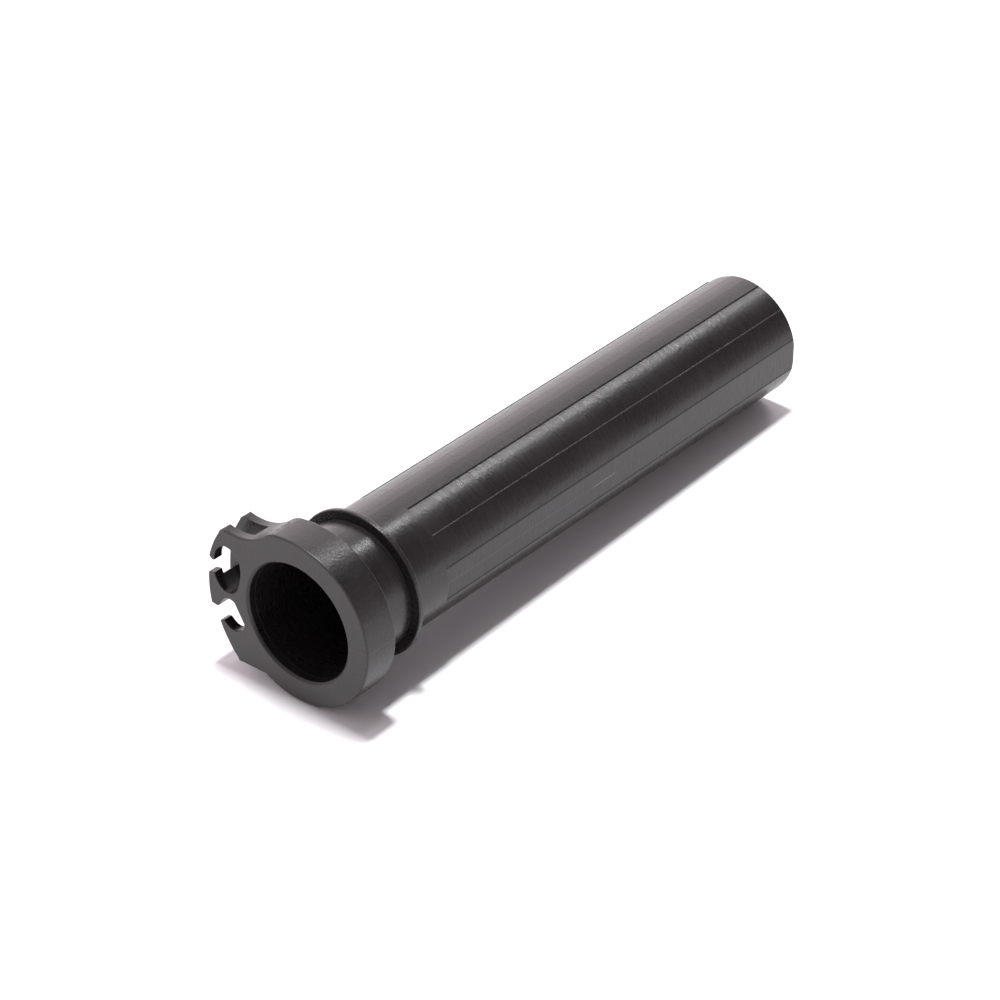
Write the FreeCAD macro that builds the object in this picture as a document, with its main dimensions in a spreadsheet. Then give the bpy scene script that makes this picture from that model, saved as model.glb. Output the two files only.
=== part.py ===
import FreeCAD, Part
import math
import os
import Sketcher

# Bare throttle sleeve for a 1-inch handlebar.
# X runs along the bar from the cable drum to the open end, Z is up as the sleeve lies.
# The origin is on the bar axis in the front face of the drum.  All lengths are in mm.

V = FreeCAD.Vector
doc = FreeCAD.newDocument("throttle_sleeve")


# ---------------------------------------------------------------- driving dimensions

DIMENSIONS = {
    # bar bore and the long tube
    "BoreRadius": 12.8,
    "BoreChamfer": 0.5,
    "TubeRadius": 14.0,
    "TubeEnd": 146.1,
    "TubeEndChamfer": 0.35,
    # strips along the tube
    "StripStart": 28.7,
    "StripHalfAngle": 15.0,
    "StripDepth": 0.2,
    "FlatDistance": 13.5,
    # collar flange
    "FlangeStart": 17.8,
    "FlangeThickness": 1.2,
    "FlangeRadius": 15.95,
    "FlangeEdge": 0.3,
    # cable drum
    "DrumWidth": 8.2,
    "DrumRadius": 18.2,
    "DrumEdge": 0.4,
    "LipDepth": 2.0,
    "BondGap": 0.02,
    # cable lug on the drum
    "PlateThickness": 2.2,
    "UpperHookRadius": 23.6,
    "ProngRadius": 23.2,
    "LowerHookRadius": 22.2,
    "PocketInnerRadius": 15.3,
}

sheet = doc.addObject("Spreadsheet::Sheet", "Dimensions")
for row, (alias, value) in enumerate(DIMENSIONS.items(), start=1):
    sheet.set(f"A{row}", alias)
    sheet.set(f"B{row}", str(value))
    sheet.setAlias(f"B{row}", alias)
doc.recompute()


def dim(alias):
    return float(sheet.get(alias))


# ---------------------------------------------------------------- helpers

def new_body(label):
    body = doc.addObject("PartDesign::Body", label)
    body.Label = label
    body.Placement = FreeCAD.Placement()
    return body


def origin_plane(body, role):
    for feature in body.Origin.OriginFeatures:
        if feature.Role == role:
            return feature
    raise ValueError(role)


def new_sketch(body, name, role, offset=0.0):
    sketch = body.newObject("Sketcher::SketchObject", name)
    sketch.AttachmentSupport = [(origin_plane(body, role), "")]
    sketch.MapMode = "FlatFace"
    sketch.AttachmentOffset = FreeCAD.Placement(V(0, 0, offset), FreeCAD.Rotation())
    return sketch


def polar(radius, angle):
    """Point in the drum plane; the angle runs from straight up towards +Y."""
    turn = math.radians(angle)
    return V(radius * math.sin(turn), radius * math.cos(turn), 0)


def add_line(sketch, start, end):
    return sketch.addGeometry(Part.LineSegment(start, end), False)


def add_arc(sketch, start, middle, end):
    return sketch.addGeometry(Part.Arc(start, middle, end), False)


def close_loop(sketch, steps):
    """Draw a closed outline.  Each step is (point,) for a line or (middle, point) for an arc."""
    here = steps[-1][-1]
    for step in steps:
        if len(step) == 1:
            add_line(sketch, here, step[0])
        else:
            add_arc(sketch, here, step[0], step[1])
        here = step[-1]


def add_circle(sketch, alias):
    index = sketch.addGeometry(Part.Circle(V(0, 0, 0), V(0, 0, 1), dim(alias)), False)
    sketch.addConstraint(Sketcher.Constraint("Coincident", index, 3, -1, 1))
    radius = sketch.addConstraint(Sketcher.Constraint("Radius", index, dim(alias)))
    sketch.setExpression(f"Constraints[{radius}]", f"Dimensions.{alias}")
    return index


def pad(body, sketch, name, length):
    feature = body.newObject("PartDesign::Pad", name)
    feature.Profile = sketch
    feature.setExpression("Length", length)
    body.Tip = feature
    doc.recompute()
    return feature


def pocket(body, sketch, name, length):
    """Cut towards +X from the sketch plane."""
    feature = body.newObject("PartDesign::Pocket", name)
    feature.Profile = sketch
    feature.Reversed = True
    feature.setExpression("Length", length)
    body.Tip = feature
    doc.recompute()
    return feature


def dress(body, kind, name, alias, base, edges):
    """Round (Fillet) or bevel (Chamfer) the named edges by one sheet dimension."""
    feature = body.newObject(f"PartDesign::{kind}", name)
    feature.Base = (base, edges)
    feature.setExpression("Radius" if kind == "Fillet" else "Size", f"Dimensions.{alias}")
    body.Tip = feature
    doc.recompute()
    return feature


def edges_where(shape, test):
    return [f"Edge{i}" for i, edge in enumerate(shape.Edges, start=1) if test(edge)]


def in_plane(edge, x):
    box = edge.BoundBox
    return abs(box.XMin - x) < 1e-4 and abs(box.XMax - x) < 1e-4


def is_ring(edge, x, radius):
    return (
        in_plane(edge, x)
        and edge.Curve.TypeId == "Part::GeomCircle"
        and abs(edge.Curve.Radius - radius) < 1e-3
    )


def revolve(body, name, points):
    """Turn a closed (x, radius) outline a full turn about the bar axis.

    Each point is a pair of sheet formulas, so the outline follows the sheet.
    """
    sketch = new_sketch(body, name + "Outline", "XZ_Plane")
    values = [(evaluate(x), evaluate(r)) for x, r in points]
    count = len(values)
    for i in range(count):
        start = V(values[i][0], values[i][1], 0)
        end = V(values[(i + 1) % count][0], values[(i + 1) % count][1], 0)
        add_line(sketch, start, end)
    for i in range(count):
        sketch.addConstraint(Sketcher.Constraint("Coincident", i, 2, (i + 1) % count, 1))
    for i, (x, r) in enumerate(points):
        bind_point(sketch, i, "DistanceX", values[i][0], x)
        bind_point(sketch, i, "DistanceY", values[i][1], r)
    feature = body.newObject("PartDesign::Revolution", name)
    feature.Profile = sketch
    feature.ReferenceAxis = (sketch, ["H_Axis"])
    feature.Angle = 360
    body.Tip = feature
    doc.recompute()
    return feature


def bind_point(sketch, index, kind, value, formula):
    if abs(value) < 1e-9:
        sketch.addConstraint(Sketcher.Constraint("PointOnObject", index, 1, -2))
        return
    number = sketch.addConstraint(Sketcher.Constraint(kind, -1, 1, index, 1, value))
    sketch.setExpression(f"Constraints[{number}]", formula)


def evaluate(formula):
    """Value of a sum of sheet names and numbers, such as 'Dimensions.A - Dimensions.B'."""
    total = 0.0
    sign = 1.0
    for word in formula.split():
        if word in "+-":
            sign = 1.0 if word == "+" else -1.0
        elif word.startswith("Dimensions."):
            total += sign * dim(word.split(".")[1])
        else:
            total += sign * float(word)
    return total


# ---------------------------------------------------------------- grip tube

def build_grip_tube():
    """Long thin tube that turns on the bar; six shallow strips run to its open end."""
    body = new_body("grip_tube")
    start = "Dimensions.LipDepth"
    end = "Dimensions.TubeEnd"
    bore = "Dimensions.BoreRadius"
    outer = "Dimensions.TubeRadius"
    bevel = "Dimensions.TubeEndChamfer"
    revolve(body, "TubeWall", [
        (start, bore),
        (f"{end} - {bevel}", bore),
        (end, f"{bore} + {bevel}"),
        (end, f"{outer} - {bevel}"),
        (f"{end} - {bevel}", outer),
        (start, outer),
    ])
    for centre in (30, 150, 210, 330):
        cut_curved_strip(body, f"Strip{centre}", centre)
    for centre in (90, 270):
        cut_flat_strip(body, f"Flat{centre}", centre)
    return body


def strip_length():
    return "Dimensions.TubeEnd - Dimensions.StripStart + 1"


def cut_curved_strip(body, name, centre):
    half = dim("StripHalfAngle")
    floor = dim("TubeRadius") - dim("StripDepth")
    above = dim("TubeRadius") + 1.0
    sketch = new_sketch(body, name + "Section", "YZ_Plane", dim("StripStart"))
    sketch.setExpression("AttachmentOffset.Base.z", "Dimensions.StripStart")
    close_loop(sketch, [
        (polar(floor, centre), polar(floor, centre + half)),
        (polar(above, centre + half),),
        (polar(above, centre), polar(above, centre - half)),
        (polar(floor, centre - half),),
    ])
    pocket(body, sketch, name, strip_length())


def cut_flat_strip(body, name, centre):
    """Plane floor centred on the moulding line."""
    side = 1.0 if centre == 90 else -1.0
    floor = dim("FlatDistance") * side
    above = (dim("TubeRadius") + 1.0) * side
    width = dim("TubeRadius") * math.sin(math.radians(dim("StripHalfAngle")))
    sketch = new_sketch(body, name + "Section", "YZ_Plane", dim("StripStart"))
    sketch.setExpression("AttachmentOffset.Base.z", "Dimensions.StripStart")
    close_loop(sketch, [
        (V(floor, width, 0),),
        (V(above, width, 0),),
        (V(above, -width, 0),),
        (V(floor, -width, 0),),
    ])
    pocket(body, sketch, name, strip_length())


# ---------------------------------------------------------------- collar flange

def build_flange_ring():
    """Thin ring on the tube that closes the groove the switch housing runs in."""
    body = new_body("flange_ring")
    sketch = new_sketch(body, "RingSection", "YZ_Plane", dim("FlangeStart"))
    sketch.setExpression("AttachmentOffset.Base.z", "Dimensions.FlangeStart")
    add_circle(sketch, "FlangeRadius")
    hole = sketch.addGeometry(Part.Circle(V(0, 0, 0), V(0, 0, 1), seat_radius()), False)
    sketch.addConstraint(Sketcher.Constraint("Coincident", hole, 3, -1, 1))
    radius = sketch.addConstraint(Sketcher.Constraint("Radius", hole, seat_radius()))
    sketch.setExpression(f"Constraints[{radius}]", "Dimensions.TubeRadius + Dimensions.BondGap")
    ring = pad(body, sketch, "Ring", "Dimensions.FlangeThickness")
    rim = edges_where(ring.Shape, lambda e: e.Curve.TypeId == "Part::GeomCircle"
                      and abs(e.Curve.Radius - dim("FlangeRadius")) < 1e-3)
    dress(body, "Fillet", "RimRound", "FlangeEdge", ring, rim)
    return body


def seat_radius():
    return dim("TubeRadius") + dim("BondGap")


# ---------------------------------------------------------------- cable drum

def build_cable_drum():
    """Drum with a forked lug; two cable ends go into the lug's pockets from the front."""
    body = new_body("cable_drum")
    outline = new_sketch(body, "DrumOutline", "YZ_Plane")
    close_loop(outline, drum_outline())
    pad(body, outline, "Drum", "Dimensions.DrumWidth")
    for name, outline in (("UpperPocket", upper_pocket()), ("LowerPocket", lower_pocket())):
        sketch = new_sketch(body, name + "Outline", "YZ_Plane")
        close_loop(sketch, outline)
        pocket(body, sketch, name, "Dimensions.DrumWidth - Dimensions.PlateThickness")
    for name, outline in (("UpperChannel", upper_channel()), ("LowerChannel", lower_channel())):
        sketch = new_sketch(body, name + "Outline", "YZ_Plane", dim("PlateThickness"))
        sketch.setExpression("AttachmentOffset.Base.z", "Dimensions.PlateThickness")
        close_loop(sketch, outline)
        pocket(body, sketch, name, "Dimensions.DrumWidth - 2 * Dimensions.PlateThickness")
    cut_drum_bore(body)
    round_outline(body)
    return body


def drum_outline():
    """Round drum with a low crest and a saddle leading into the lug on its +Y side."""
    drum = dim("DrumRadius")
    top = dim("UpperHookRadius")
    middle = dim("ProngRadius")
    low = dim("LowerHookRadius")
    return [
        (V(0.15, 18.40, 0), V(5.12, 18.10, 0)),
        (V(6.58, 17.62, 0), V(7.85, 16.77, 0)),
        (V(12.91, 14.07, 0), V(18.65, 14.07, 0)),
        (V(19.35, 13.6, 0), polar(top, 57.5)),
        (polar(top, 66), polar(top, 74.5)),
        (polar(middle, 84.5),),
        (polar(middle, 93), polar(middle, 102)),
        (polar(low, 111),),
        (polar(low, 122), polar(low, 133)),
        (polar(low, 135), V(15.2, -15.6, 0)),
        (polar(drum, 149),),
        (polar(drum, 245), polar(drum, -20)),
    ]


def upper_pocket():
    return [
        (V(20.80, 8.35, 0), V(18.85, 10.05, 0)),
        (V(16.30, 9.60, 0), V(14.60, 7.45, 0)),
        (V(14.55, 4.60, 0), V(15.30, 1.85, 0)),
        (V(16.85, -0.20, 0), V(19.10, -0.50, 0)),
        (V(20.75, 0.85, 0), V(21.60, 2.65, 0)),
        (V(25.00, 2.05, 0),),
        (V(25.00, 8.30, 0),),
        (V(22.10, 5.70, 0),),
        (V(21.45, 5.74, 0),),
    ]


def lower_pocket():
    return [
        (V(19.45, -2.55, 0),),
        (V(18.10, -1.95, 0), V(16.50, -2.35, 0)),
        (V(15.75, -3.60, 0),),
        (V(14.20, -6.20, 0),),
        (V(14.15, -6.85, 0), V(15.30, -8.45, 0)),
        (V(16.90, -9.00, 0), V(19.00, -8.16, 0)),
        (V(19.65, -7.70, 0),),
        (V(24.00, -9.40, 0),),
        (V(25.00, -4.40, 0),),
        (V(21.07, -4.90, 0),),
    ]


def upper_channel():
    """Room for the cable between the two plates, from the top edge down past its pocket."""
    floor = dim("PocketInnerRadius")
    return [
        (polar(floor, 72),),
        (polar(floor, 80), polar(floor, 86)),
        (V(19.0, 1.65, 0),),
        (V(21.2, 1.65, 0),),
        (V(26.0, -2.40, 0),),
        (V(26.0, 18.5, 0),),
        (V(11.0, 18.5, 0),),
        (V(11.0, 15.4, 0),),
        (V(12.2, 14.2, 0),),
    ]


def lower_channel():
    floor = dim("PocketInnerRadius")
    return [
        (V(19.0, -3.6, 0),),
        (V(21.0, -8.2, 0),),
        (V(26.0, -10.0, 0),),
        (V(26.0, -19.0, 0),),
        (V(11.4, -19.0, 0),),
        (V(11.4, -15.2, 0),),
        (polar(floor, 122),),
        (polar(floor, 115), polar(floor, 108)),
    ]


def on_crest(edge):
    box = edge.BoundBox
    return box.ZMin > 13.65 and box.YMin > -6.3 and box.YMax < 18.7


def round_outline(body):
    """Soften the drum's round rim, its crest and its saddle on both faces."""
    base = body.Tip
    faces = (0.0, dim("DrumWidth"))
    edges = edges_where(base.Shape, lambda e: any(
        is_ring(e, x, dim("DrumRadius")) or (in_plane(e, x) and on_crest(e)) for x in faces))
    dress(body, "Fillet", "RimRound", "DrumEdge", base, edges)


def cut_drum_bore(body):
    lip = new_sketch(body, "LipCircle", "YZ_Plane")
    add_circle(lip, "BoreRadius")
    pocket(body, lip, "LipBore", "Dimensions.DrumWidth")
    seat = new_sketch(body, "SeatCircle", "YZ_Plane", dim("LipDepth"))
    seat.setExpression("AttachmentOffset.Base.z", "Dimensions.LipDepth")
    circle = seat.addGeometry(Part.Circle(V(0, 0, 0), V(0, 0, 1), seat_radius()), False)
    seat.addConstraint(Sketcher.Constraint("Coincident", circle, 3, -1, 1))
    radius = seat.addConstraint(Sketcher.Constraint("Radius", circle, seat_radius()))
    seat.setExpression(f"Constraints[{radius}]", "Dimensions.TubeRadius + Dimensions.BondGap")
    bored = pocket(body, seat, "TubeSeat", "Dimensions.DrumWidth")
    entry = edges_where(bored.Shape, lambda e: is_ring(e, 0.0, dim("BoreRadius")))
    dress(body, "Chamfer", "EntryBevel", "BoreChamfer", bored, entry)


# ---------------------------------------------------------------- build, check and export

parts = [build_cable_drum(), build_grip_tube(), build_flange_ring()]
doc.recompute()

for item in doc.Objects:
    if "Invalid" in item.State or "Error" in item.State:
        raise RuntimeError(f"{item.Label}: {item.State}")

os.makedirs("parts", exist_ok=True)
for part in parts:
    shape = part.Shape
    if shape.isNull() or not shape.isValid() or len(shape.Solids) != 1:
        raise RuntimeError(f"{part.Label}: bad shape")
    shape.exportStep(f"parts/{part.Label}.step")
    print(part.Label, round(shape.Volume, 1), "mm3")
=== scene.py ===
import math

import bpy
from mathutils import Matrix, Vector

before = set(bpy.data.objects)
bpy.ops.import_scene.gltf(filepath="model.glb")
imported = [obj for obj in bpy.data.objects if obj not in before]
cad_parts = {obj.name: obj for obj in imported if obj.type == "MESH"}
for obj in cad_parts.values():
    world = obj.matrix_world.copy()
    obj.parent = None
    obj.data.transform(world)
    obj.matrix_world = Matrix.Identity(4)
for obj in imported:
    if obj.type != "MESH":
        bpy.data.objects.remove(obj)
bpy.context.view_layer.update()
MM = 0.001


# ---------------------------------------------------------------- node helpers

class Graph:
    """A small wrapper that adds shader nodes and links them."""

    def __init__(self, tree):
        self.tree = tree

    def add(self, kind, **settings):
        node = self.tree.nodes.new(kind)
        for key, value in settings.items():
            setattr(node, key, value)
        return node

    def plug(self, value, socket):
        if isinstance(value, bpy.types.NodeSocket):
            self.tree.links.new(value, socket)
        else:
            socket.default_value = value

    def math(self, operation, a, b=0.0, clamp=False):
        node = self.add("ShaderNodeMath", operation=operation, use_clamp=clamp)
        self.plug(a, node.inputs[0])
        self.plug(b, node.inputs[1])
        return node.outputs[0]

    def plus(self, a, b, clamp=False):
        return self.math("ADD", a, b, clamp)

    def minus(self, a, b):
        return self.math("SUBTRACT", a, b)

    def times(self, a, b, clamp=False):
        return self.math("MULTIPLY", a, b, clamp)

    def absolute(self, a):
        return self.math("ABSOLUTE", a)

    def above(self, a, limit):
        return self.math("GREATER_THAN", a, limit)

    def dot(self, vector, fixed):
        node = self.add("ShaderNodeVectorMath", operation="DOT_PRODUCT")
        self.plug(vector, node.inputs[0])
        node.inputs[1].default_value = fixed
        return node.outputs["Value"]

    def noise(self, vector, stretch, detail, rough=0.5):
        """Noise between 0 and 1; stretch is its frequency along X, Y and Z in cycles a metre."""
        mapping = self.add("ShaderNodeMapping")
        self.plug(vector, mapping.inputs["Vector"])
        mapping.inputs["Scale"].default_value = stretch
        node = self.add("ShaderNodeTexNoise")
        self.plug(mapping.outputs["Vector"], node.inputs["Vector"])
        node.inputs["Scale"].default_value = 1.0
        node.inputs["Detail"].default_value = detail
        node.inputs["Roughness"].default_value = rough
        return node.outputs["Fac"]

    def ramp(self, value, low, high, out_low, out_high):
        """Map low..high to out_low..out_high, held at the ends."""
        node = self.add("ShaderNodeMapRange", clamp=True)
        self.plug(value, node.inputs["Value"])
        ends = {"From Min": low, "From Max": high, "To Min": out_low, "To Max": out_high}
        for name, number in ends.items():
            self.plug(number, node.inputs[name])
        return node.outputs["Result"]

    def mix_colour(self, factor, a, b):
        node = self.add("ShaderNodeMix", data_type="RGBA")
        self.plug(factor, node.inputs[0])
        self.plug(a, node.inputs[6])
        self.plug(b, node.inputs[7])
        return node.outputs[2]

    def bump(self, height, distance, strength, normal):
        node = self.add("ShaderNodeBump")
        self.plug(height, node.inputs["Height"])
        node.inputs["Distance"].default_value = distance
        self.plug(strength, node.inputs["Strength"])
        self.plug(normal, node.inputs["Normal"])
        return node.outputs["Normal"]

    def soft_edges(self, radius):
        """Normal that rounds the sharp edges of the shape by a small radius."""
        node = self.add("ShaderNodeBevel", samples=6)
        node.inputs["Radius"].default_value = radius
        return node.outputs["Normal"]


def new_material(name):
    material = bpy.data.materials.new(name)
    material.use_nodes = True
    material.node_tree.nodes.clear()
    graph = Graph(material.node_tree)
    shader = graph.add("ShaderNodeBsdfPrincipled")
    shader.inputs["IOR"].default_value = 1.5
    output = graph.add("ShaderNodeOutputMaterial")
    graph.plug(shader.outputs["BSDF"], output.inputs["Surface"])
    place = graph.add("ShaderNodeTexCoord").outputs["Object"]
    return material, graph, shader, place


# ---------------------------------------------------------------- materials

DARK = (0.0112, 0.0098, 0.0103, 1.0)
LIGHT = (0.0172, 0.0152, 0.0160, 1.0)
# pale tone for scuffs and the parting line, also used as painted light on the drum's front face
MARK_AND_LIT_FACE_TONE = (0.075, 0.070, 0.072, 1.0)
# pale tone for seams and flash, also used as a painted highlight on the tube's strip edges
PALE_SEAM_AND_HIGHLIGHT = (0.190, 0.180, 0.184, 1.0)
SHADE = (0.006, 0.005, 0.005, 1.0)

SPECULAR = 0.5

# the small mark on the drum's crest
MARK_PLACE, MARK_ANGLE = 4.9 * MM, math.radians(20.5)
MARK_WIDTH, MARK_TURN = 0.9 * MM, math.radians(2.6)
DASH_PLACE = (2.35 * MM, 2.60 * MM)
DASH_ANGLES = (math.radians(18.6), math.radians(23.2))

# the tube, as distances along the bar and radii
STRIP_START = 28.7 * MM
OUTER_SKIN = 13.45 * MM
STRIP_EDGES = 13.7 * MM
FLASH_LENGTH = (75.5 * MM, 82.5 * MM)


def polar_place(graph, place):
    """Distance along the bar, the angle around it, from straight up towards +Y, and the radius."""
    axes = graph.add("ShaderNodeSeparateXYZ")
    graph.plug(place, axes.inputs[0])
    y, z = axes.outputs["Y"], axes.outputs["Z"]
    radius = graph.math("SQRT", graph.plus(graph.times(y, y), graph.times(z, z)))
    return axes.outputs["X"], graph.math("ARCTAN2", y, z), radius


def line_at(graph, angle, degrees, half_width):
    """1 on the line at this angle, falling to 0 half_width degrees away."""
    gap = graph.absolute(graph.minus(angle, math.radians(degrees)))
    return graph.ramp(gap, 0.0, math.radians(half_width), 1.0, 0.0)


def band(graph, value, low, high, soft):
    """1 between low and high, with soft ends."""
    rise = graph.ramp(value, low - soft, low + soft, 0.0, 1.0)
    fall = graph.ramp(value, high - soft, high + soft, 1.0, 0.0)
    return graph.times(rise, fall)


def base_tone(graph, clouds):
    return graph.mix_colour(graph.ramp(clouds, 0.3, 0.7, 0.0, 1.0), DARK, LIGHT)


def mould_mark(graph, along, angle):
    """Small plain ring and dash."""
    across = graph.math("DIVIDE", graph.minus(along, MARK_PLACE), MARK_WIDTH)
    around = graph.math("DIVIDE", graph.minus(angle, MARK_ANGLE), MARK_TURN)
    distance = graph.math("SQRT", graph.plus(graph.times(across, across), graph.times(around, around)))
    ring = graph.ramp(graph.absolute(graph.minus(distance, 1.0)), 0.10, 0.26, 1.0, 0.0)
    dash = graph.times(band(graph, along, *DASH_PLACE, 0.06 * MM),
                       band(graph, angle, *DASH_ANGLES, math.radians(0.3)))
    return graph.plus(ring, dash, clamp=True)


def moulded_plastic(name, rough_low, rough_high, face_rough=0.0):
    """Black moulded plastic: flow clouds, a pebbled skin, a few light scuffs and a parting line.

    The front face, at x = 0, is painted paler as painted light, where the fill light falls on it, and
    is rougher.
    """
    material, graph, shader, place = new_material(name)
    along, angle, _ = polar_place(graph, place)
    clouds = graph.noise(place, (90, 160, 160), 4.0)
    pebbles = graph.noise(place, (1500, 1500, 1500), 2.0)
    grain = graph.noise(place, (4200, 4200, 4200), 2.0)
    scuffs = graph.noise(place, (300, 2100, 2100), 5.0, 0.6)
    speckle = graph.noise(place, (2300, 2300, 2300), 2.0, 0.7)
    parting = line_at(graph, angle, -88.0, 0.5)
    mark = mould_mark(graph, along, angle)
    front = graph.ramp(along, 0.1 * MM, 0.3 * MM, 1.0, 0.0)

    marks_and_painted_light = graph.plus(graph.ramp(scuffs, 0.62, 0.80, 0.0, 0.35), graph.times(parting, 0.20))
    # the front face is mixed towards the pale tone as painted light, where the fill light falls on it
    marks_and_painted_light = graph.plus(marks_and_painted_light, graph.times(front, 0.20), clamp=True)
    marks_and_painted_light = graph.times(marks_and_painted_light, graph.ramp(speckle, 0.3, 0.7, 0.3, 1.7), clamp=True)
    colour = graph.mix_colour(marks_and_painted_light, base_tone(graph, clouds), MARK_AND_LIT_FACE_TONE)
    colour = graph.mix_colour(graph.times(mark, 0.8), colour, SHADE)
    graph.plug(colour, shader.inputs["Base Color"])

    rough = graph.ramp(clouds, 0.3, 0.7, rough_low, rough_high)
    rough = graph.plus(rough, graph.ramp(speckle, 0.35, 0.65, -0.05, 0.05))
    rough = graph.plus(rough, graph.ramp(scuffs, 0.5, 0.75, 0.0, 0.07))
    rough = graph.plus(rough, graph.times(front, face_rough))
    graph.plug(rough, shader.inputs["Roughness"])
    sheen = graph.minus(SPECULAR, graph.times(mark, 0.42))
    graph.plug(sheen, shader.inputs["Specular IOR Level"])

    normal = graph.bump(pebbles, 0.06 * MM, 0.8, graph.soft_edges(0.28 * MM))
    normal = graph.bump(grain, 0.006 * MM, 0.7, normal)
    normal = graph.bump(graph.minus(parting, mark), 0.05 * MM, 0.8, normal)
    graph.plug(normal, shader.inputs["Normal"])
    return material


def turned_plastic(name):
    """The tube's plastic: fine marks around it, rougher strips and a parting line on each flat."""
    material, graph, shader, place = new_material(name)
    along, angle, radius = polar_place(graph, place)
    side = graph.absolute(angle)
    outside = graph.above(radius, OUTER_SKIN)
    past_collar = graph.times(graph.above(along, STRIP_START), outside)

    # six strips, each 30 degrees wide: below 0 in a strip, above 0 between two
    wave = graph.math("COSINE", graph.times(angle, 6.0))
    strip = graph.times(graph.math("LESS_THAN", wave, 0.0), past_collar)

    # the strips' edges get a painted highlight 45 degrees down from the top, on both sides, where they
    # catch the light, and less sheen elsewhere, as painted shade
    at_edge = graph.absolute(wave)
    edge_skin = graph.times(past_collar, graph.above(radius, STRIP_EDGES))
    middle = band(graph, side, math.radians(30.0), math.radians(60.0), 0.01)
    painted_edge_highlight = graph.times(graph.ramp(at_edge, 0.0, 0.07, 1.0, 0.0), graph.times(edge_skin, middle))
    dark_side = graph.times(edge_skin, graph.minus(1.0, middle))
    dark_edge = graph.times(graph.ramp(at_edge, 0.02, 0.13, 1.0, 0.0), dark_side)

    # parting line on both flats, and a short streak of flash beside the near one
    seam = graph.times(line_at(graph, side, 90.0, 0.55), graph.ramp(along, 60 * MM, 92 * MM, 1.0, 0.0))
    seam = graph.times(seam, past_collar)
    flash = graph.times(line_at(graph, angle, -90.3, 1.1), band(graph, along, *FLASH_LENGTH, 1.2 * MM))
    flash = graph.times(flash, outside)
    line = graph.plus(graph.times(seam, 0.45), flash, clamp=True)

    clouds = graph.noise(place, (60, 140, 140), 4.0)
    rings = graph.noise(place, (1900, 1000, 1000), 2.0)
    grain = graph.noise(place, (3600, 3600, 3600), 2.0)
    streaks = graph.noise(place, (1500, 120, 120), 4.0, 0.7)

    # seams and flash are pale marks; the strips' edges get a painted highlight
    marks_and_painted_light = graph.plus(graph.times(line, 0.6), graph.times(painted_edge_highlight, 0.12), clamp=True)
    graph.plug(graph.mix_colour(marks_and_painted_light, base_tone(graph, clouds), PALE_SEAM_AND_HIGHLIGHT), shader.inputs["Base Color"])

    rough = graph.ramp(clouds, 0.3, 0.7, 0.23, 0.27)
    rough = graph.plus(rough, graph.ramp(streaks, 0.40, 0.75, 0.0, 0.10))
    rough = graph.plus(rough, graph.times(strip, 0.015))
    graph.plug(rough, shader.inputs["Roughness"])
    sheen = graph.minus(SPECULAR, graph.times(dark_edge, 0.40))
    graph.plug(sheen, shader.inputs["Specular IOR Level"])

    ring_strength = graph.ramp(strip, 0.0, 1.0, 0.62, 0.76)
    normal = graph.bump(rings, 0.06 * MM, ring_strength, graph.soft_edges(0.16 * MM))
    normal = graph.bump(grain, 0.008 * MM, 0.6, normal)
    graph.plug(graph.bump(line, 0.06 * MM, 0.7, normal), shader.inputs["Normal"])
    return material


FINISH = {
    "cable_drum": ("drum_plastic", moulded_plastic("drum_plastic", 0.28, 0.38, 0.12)),
    "grip_tube": ("tube_plastic", turned_plastic("tube_plastic")),
    "flange_ring": ("flange_plastic", moulded_plastic("flange_plastic", 0.26, 0.34)),
}

for node_name, (slot_name, material) in FINISH.items():
    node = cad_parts[node_name]
    node.data.materials.clear()
    node.data.materials.append(material)


# ---------------------------------------------------------------- camera, floor and light

CAMERA_PLACE = Vector((-0.37819, -0.36234, 0.36043))
CAMERA_RIGHT = Vector((0.63598, -0.77170, 0.0))
CAMERA_UP = Vector((0.41417, 0.34133, 0.84378))
FOCAL_LENGTH = 118.8

# the drum's rim and the tube's open end rest on the floor
DRUM_RADIUS = 18.2 * MM
DRUM_WIDTH = 8.2 * MM
FLOOR_SLOPE = 4.2 / 137.5
FLOOR_HALF = 3.0
FLOOR_TONES = ((0.86, 0.855, 0.87, 1.0), (0.90, 0.895, 0.91, 1.0))

ROOM_TINT = (1.0, 0.90, 0.935, 1.0)


def make_camera():
    data = bpy.data.cameras.new("camera")
    data.lens = FOCAL_LENGTH
    data.sensor_width = 36.0
    data.clip_start = 0.01
    data.clip_end = 50.0
    camera = bpy.data.objects.new("camera", data)
    bpy.context.scene.collection.objects.link(camera)
    right = CAMERA_RIGHT.normalized()
    back = right.cross(CAMERA_UP).normalized()
    up = back.cross(right)
    turn = Matrix((right, up, back)).transposed().to_4x4()
    camera.matrix_world = Matrix.Translation(CAMERA_PLACE) @ turn
    bpy.context.scene.camera = camera


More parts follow.
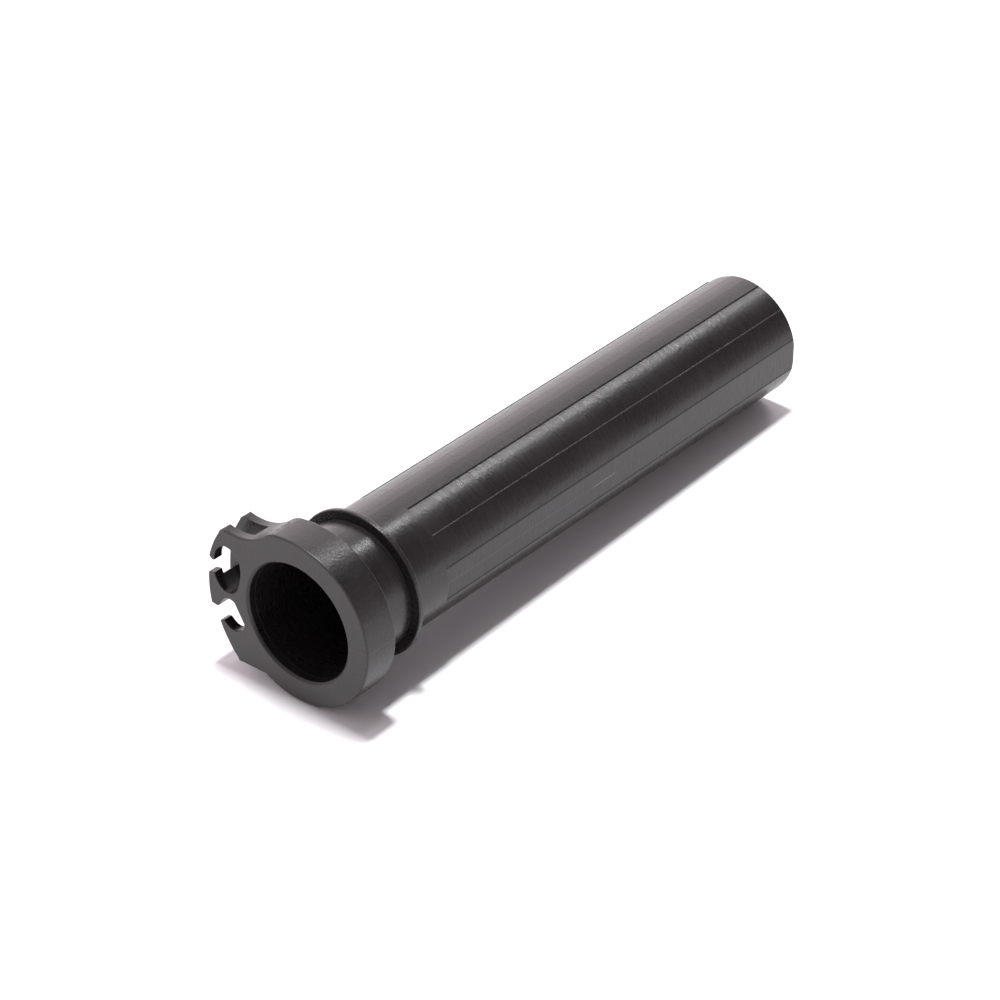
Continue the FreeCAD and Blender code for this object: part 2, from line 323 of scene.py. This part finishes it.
def make_floor():
    """Pale table under the sleeve."""
    mesh = bpy.data.meshes.new("floor")
    corners = []
    for x, y in ((-1, -1), (1, -1), (1, 1), (-1, 1)):
        height = FLOOR_SLOPE * (x * FLOOR_HALF - DRUM_WIDTH) - DRUM_RADIUS
        corners.append((x * FLOOR_HALF, y * FLOOR_HALF, height))
    mesh.from_pydata(corners, [], [(0, 1, 2, 3)])
    floor = bpy.data.objects.new("floor", mesh)
    bpy.context.scene.collection.objects.link(floor)
    material, graph, shader, place = new_material("floor_paper")
    tint = graph.noise(place, (3, 3, 3), 2.0)
    graph.plug(graph.mix_colour(tint, *FLOOR_TONES), shader.inputs["Base Color"])
    shader.inputs["Roughness"].default_value = 0.9
    shader.inputs["Specular IOR Level"].default_value = 0.0
    mesh.materials.append(material)


def area_light(name, place, size_x, size_y, power):
    """Lamp that faces straight down; its long side runs along the bar."""
    data = bpy.data.lights.new(name, "AREA")
    data.energy = power
    data.shape = "RECTANGLE"
    data.size = size_x
    data.size_y = size_y
    light = bpy.data.objects.new(name, data)
    bpy.context.scene.collection.objects.link(light)
    light.location = place


def make_world():
    """Room that is bright on the +Y side and dim on the other, with a bright screen behind the object.

    It is a little paler low down and on the camera's side.
    """
    world = bpy.data.worlds.new("world")
    bpy.context.scene.world = world
    world.use_nodes = True
    world.node_tree.nodes.clear()
    graph = Graph(world.node_tree)
    direction = graph.add("ShaderNodeTexCoord").outputs["Generated"]
    room = graph.ramp(graph.dot(direction, (0.0, 1.0, 0.0)), -0.35, 0.45, 0.11, 0.85)
    screen = graph.ramp(graph.dot(direction, (0.745, 0.625, 0.24)), 0.74, 0.96, 0.0, 1.15)
    front = graph.ramp(graph.dot(direction, (-0.64, -0.76, 0.10)), 0.05, 0.75, 0.0, 0.25)
    low = graph.ramp(graph.dot(direction, (0.0, 0.0, 1.0)), 0.05, 0.42, 0.30, 0.0)
    strength = graph.plus(graph.plus(room, screen), graph.plus(front, low))
    background = graph.add("ShaderNodeBackground")
    background.inputs["Color"].default_value = ROOM_TINT
    graph.plug(strength, background.inputs["Strength"])
    output = graph.add("ShaderNodeOutputWorld")
    graph.plug(background.outputs[0], output.inputs["Surface"])


make_camera()
make_floor()
make_world()
area_light("key", (0.22, 0.17, 3.0), 0.42, 0.26, 88.0)
area_light("strip", (2.70, 0.17, 3.0), 1.60, 0.42, 33.0)
bpy.context.scene.view_settings.view_transform = "Standard"
